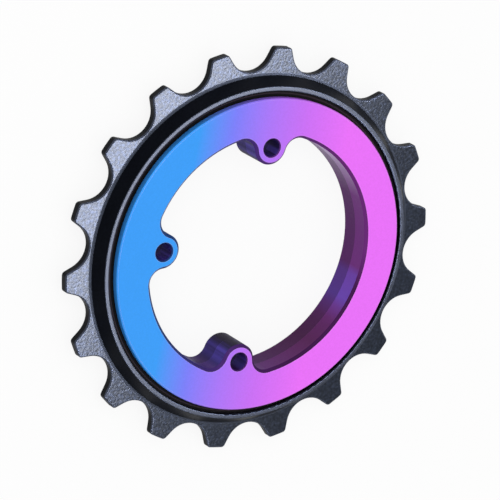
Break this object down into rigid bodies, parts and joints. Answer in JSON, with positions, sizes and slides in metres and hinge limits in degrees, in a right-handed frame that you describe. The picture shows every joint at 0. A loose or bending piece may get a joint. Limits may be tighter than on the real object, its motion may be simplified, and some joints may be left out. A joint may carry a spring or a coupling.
{
  "type": "derailleur pulley wheel",
  "caption": "Hollow toothed chain pulley wheel that spins on a large thin ball bearing round a two-piece open hub with tabs for screws.",
  "frame": {"origin": "on the wheel's axis, at the hub's back face", "axes": "+Z along the axis, towards the front face; the lower tab points along -Y"},
  "size_m": [0.073, 0.0736, 0.0072],
  "materials": {
    "black_anodised": "blasted, black anodised",
    "colour_anodised": "satin, blue to magenta colour fade",
    "bearing_steel": "ground",
    "polished_balls": "polished",
    "cage_nylon": "moulded",
    "seal_rubber": "moulded"
  },
  "bodies": {
    "hub": {"hub_front": "colour_anodised", "hub_back": "colour_anodised", "inner_race": "bearing_steel"},
    "toothed_ring": {"tooth_ring": "black_anodised", "outer_race": "bearing_steel", "front_seal": "seal_rubber", "back_seal": "seal_rubber"},
    "ball_set": {"ball_cage": "cage_nylon", "ball_01": "polished_balls", "ball_02": "polished_balls", "ball_03": "polished_balls", "ball_04": "polished_balls", "ball_05": "polished_balls", "ball_06": "polished_balls", "ball_07": "polished_balls", "ball_08": "polished_balls", "ball_09": "polished_balls", "ball_10": "polished_balls", "ball_11": "polished_balls", "ball_12": "polished_balls", "ball_13": "polished_balls", "ball_14": "polished_balls", "ball_15": "polished_balls", "ball_16": "polished_balls", "ball_17": "polished_balls", "ball_18": "polished_balls", "ball_19": "polished_balls", "ball_20": "polished_balls", "ball_21": "polished_balls", "ball_22": "polished_balls", "ball_23": "polished_balls", "ball_24": "polished_balls"}
  },
  "joints": [
    {"name": "wheel_spin", "type": "hinge", "parent": "hub", "child": "toothed_ring", "pos_m": [0, 0, 0.00335], "axis": [0, 0, 1], "continuous": true},
    {"name": "ball_set_roll", "type": "hinge", "parent": "hub", "child": "ball_set", "pos_m": [0, 0, 0.00335], "axis": [0, 0, 1], "continuous": true}
  ],
  "couplings": [
    {"joint": "ball_set_roll", "follows": "wheel_spin", "ratio": 0.5225}
  ]
}
